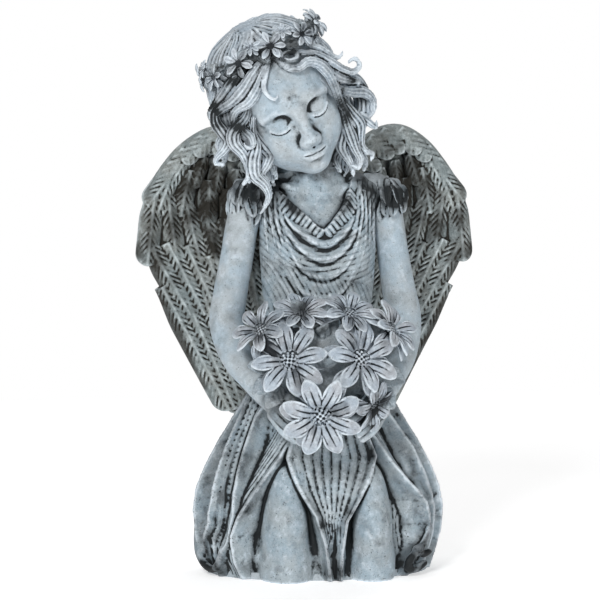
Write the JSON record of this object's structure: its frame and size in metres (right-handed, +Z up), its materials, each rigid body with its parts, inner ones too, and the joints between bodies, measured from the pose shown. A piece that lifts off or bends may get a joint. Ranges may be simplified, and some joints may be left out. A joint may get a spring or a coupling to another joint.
{
  "type": "angel figurine",
  "caption": "Kneeling angel figurine of stone-look cast resin, head tilted, with feathered wings, a flower wreath in the hair and a bouquet in both hands.",
  "frame": {"origin": "centre of the overall box at the underside the figurine stands on", "axes": "+Z up, the figure faces -Y, +X towards the figure's left hand and wing"},
  "size_m": [0.1876, 0.1357, 0.3236],
  "materials": {
    "gown_stone": "resin filled with stone powder, matt pale grey with a dark antique wash in the hollows",
    "skin_stone": "resin filled with stone powder, matt pale grey with a dark antique wash in the hollows",
    "hair_stone": "resin filled with stone powder, matt pale grey with a dark antique wash in the hollows",
    "wreath_stone": "resin filled with stone powder, matt pale grey with a dark antique wash in the hollows",
    "petal_stone": "resin filled with stone powder, matt pale grey with a dark antique wash in the hollows",
    "leaf_stone": "resin filled with stone powder, matt pale grey with a dark antique wash in the hollows",
    "wing_stone": "resin filled with stone powder, matt pale grey with a dark antique wash in the hollows, a little browner between the feathers",
    "base_stone": "unpainted grey cast resin",
    "plug_rubber": "soft black rubber",
    "dowel_steel": "bare steel rod"
  },
  "bodies": {
    "root": {"skirt_shell": "gown_stone", "base_plate": "base_stone", "fill_plug": "plug_rubber", "torso": "gown_stone", "right_arm": "skin_stone", "left_arm": "skin_stone", "head": "skin_stone", "right_locks": "hair_stone", "left_locks": "hair_stone", "wreath_band": "wreath_stone", "wreath_flowers": "wreath_stone", "bouquet_core": "leaf_stone", "front_daisy": "petal_stone", "left_daisy": "petal_stone", "right_daisy": "petal_stone", "upper_left_daisy": "petal_stone", "upper_right_daisy": "petal_stone", "back_left_daisy": "petal_stone", "back_right_daisy": "petal_stone", "low_daisy": "petal_stone", "bouquet_leaves": "leaf_stone", "right_wing": "wing_stone", "left_wing": "wing_stone", "waist_dowels": "dowel_steel", "arm_dowels": "dowel_steel", "bouquet_dowel": "dowel_steel"}
  },
  "joints": []
}
